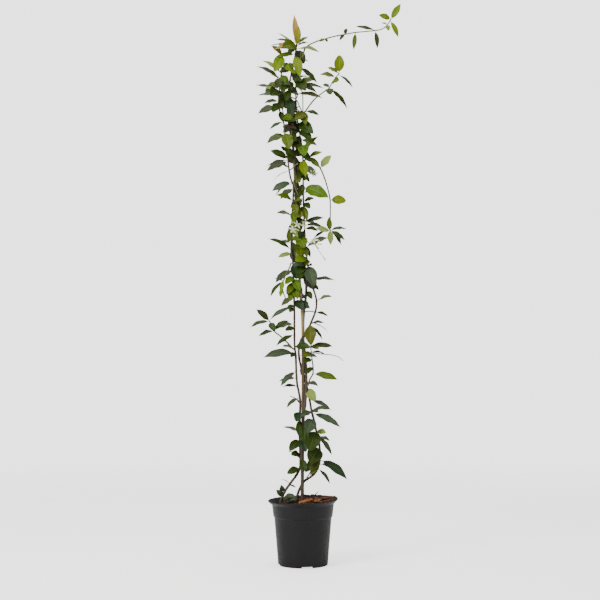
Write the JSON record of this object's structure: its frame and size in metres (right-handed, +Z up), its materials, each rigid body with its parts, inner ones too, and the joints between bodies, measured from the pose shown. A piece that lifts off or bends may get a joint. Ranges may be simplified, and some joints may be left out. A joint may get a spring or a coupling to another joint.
{
  "type": "potted star jasmine",
  "caption": "Tall, slender star jasmine that climbs a bamboo cane in a round plastic nursery pot with bark over its soil.",
  "frame": {"origin": "under the pot's centre, on the surface that the pot stands on", "axes": "+Z up along the cane, +X to the right of the front view, +Y away from the viewer"},
  "size_m": [0.322, 0.1492, 1.201],
  "materials": {
    "pot": "charcoal moulded plastic",
    "soil": "dark crumbly potting soil",
    "bark": "rough pine bark chips",
    "cane": "tan bamboo",
    "leaf": "glossy green leaves on brown and green stems",
    "flower": "soft cream petals on pale green stalks"
  },
  "bodies": {
    "root": {"pot": "pot", "potting_soil": "soil", "bark_mulch": "bark", "bamboo_cane": "cane", "main_vine": "leaf", "left_vine": "leaf", "right_vine": "leaf", "reaching_shoot": "leaf", "upper_right_shoot": "leaf", "hanging_shoot": "leaf", "left_shoot": "leaf", "loop_shoot": "leaf", "lower_right_shoot": "leaf", "basal_shoot": "leaf", "front_flower_spray": "flower", "right_flower_spray": "flower", "upper_flower_spray": "flower"}
  },
  "joints": []
}
